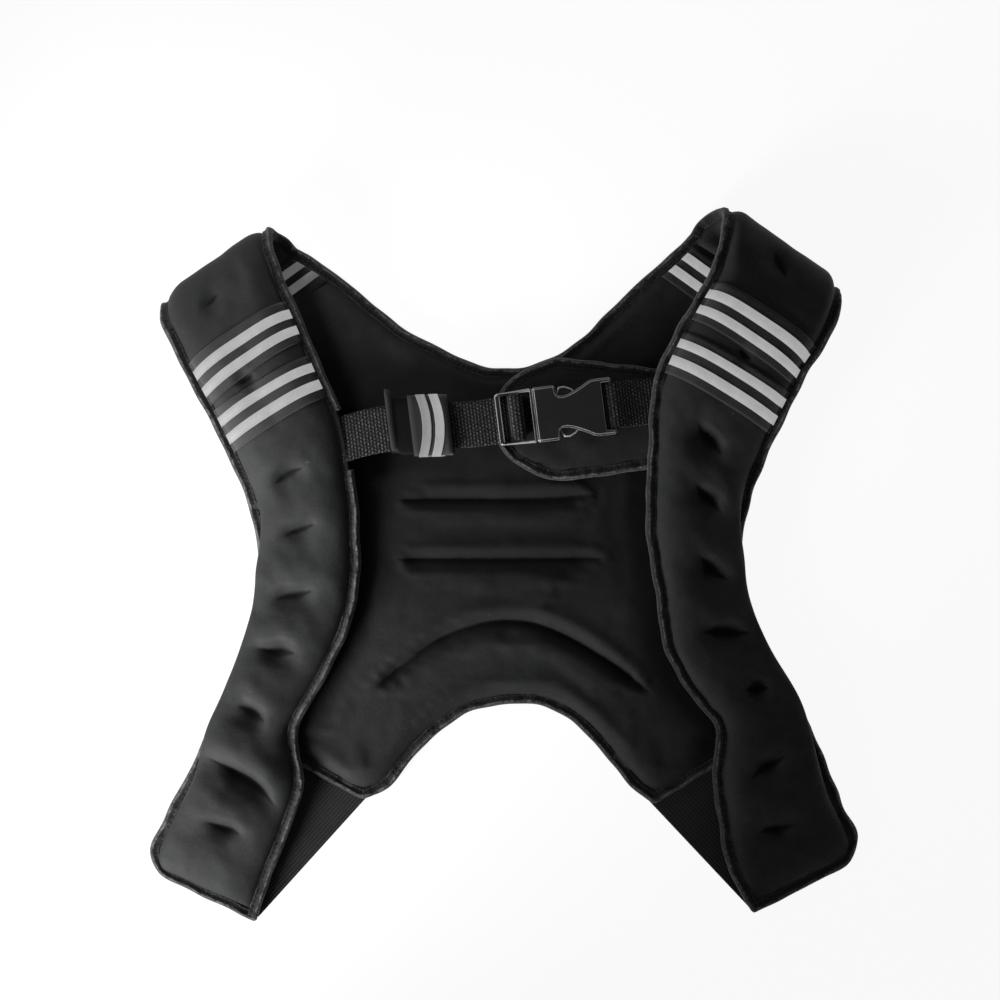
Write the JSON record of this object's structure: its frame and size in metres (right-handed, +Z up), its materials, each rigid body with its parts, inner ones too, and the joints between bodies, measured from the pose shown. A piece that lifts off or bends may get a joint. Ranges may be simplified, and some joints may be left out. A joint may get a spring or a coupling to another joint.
{
  "type": "weighted training vest",
  "caption": "X-shaped padded neoprene weight vest lying on its back, front straps folded over at the shoulders, with elastic sides, reflective bands and a buckled chest strap.",
  "frame": {"origin": "middle of the vest's outline, on the surface that it lies on", "axes": "+X across the vest, +Y towards the neck, +Z up from the surface: the back panel's inner face and the front straps look up"},
  "size_m": [0.4542, 0.4548, 0.0482],
  "materials": {
    "neoprene": "knit-faced black neoprene, soft sheen",
    "binding": "folded knit edge tape",
    "tape": "dark grey woven tape",
    "reflective_stripe": "silver reflective stripe, fine grain",
    "webbing": "ribbed black webbing",
    "elastic": "matte ribbed black elastic",
    "buckle_plastic": "satin moulded plastic"
  },
  "bodies": {
    "root": {"back_panel": "neoprene", "buckle_frame": "buckle_plastic", "buckle_guard": "neoprene", "buckle_socket": "buckle_plastic", "chest_web_left": "webbing", "chest_web_right": "webbing", "edge_binding": "binding", "elastic_left": "elastic", "elastic_right": "elastic", "guard_binding": "binding", "keeper_band": "tape", "keeper_sleeve": "webbing", "keeper_stripe_a": "reflective_stripe", "keeper_stripe_b": "reflective_stripe", "left_inner_band": "tape", "left_inner_stripe_a": "reflective_stripe", "left_inner_stripe_b": "reflective_stripe", "left_lower_band": "tape", "left_lower_stripe_a": "reflective_stripe", "left_lower_stripe_b": "reflective_stripe", "left_neck_binding": "binding", "left_strap_binding": "binding", "left_upper_band": "tape", "left_upper_stripe_a": "reflective_stripe", "left_upper_stripe_b": "reflective_stripe", "neck_binding": "binding", "right_inner_band": "tape", "right_inner_stripe_a": "reflective_stripe", "right_inner_stripe_b": "reflective_stripe", "right_lower_band": "tape", "right_lower_stripe_a": "reflective_stripe", "right_lower_stripe_b": "reflective_stripe", "right_strap_binding": "binding", "right_upper_band": "tape", "right_upper_stripe_a": "reflective_stripe", "right_upper_stripe_b": "reflective_stripe", "strap_left": "neoprene", "strap_right": "neoprene"}
  },
  "joints": []
}
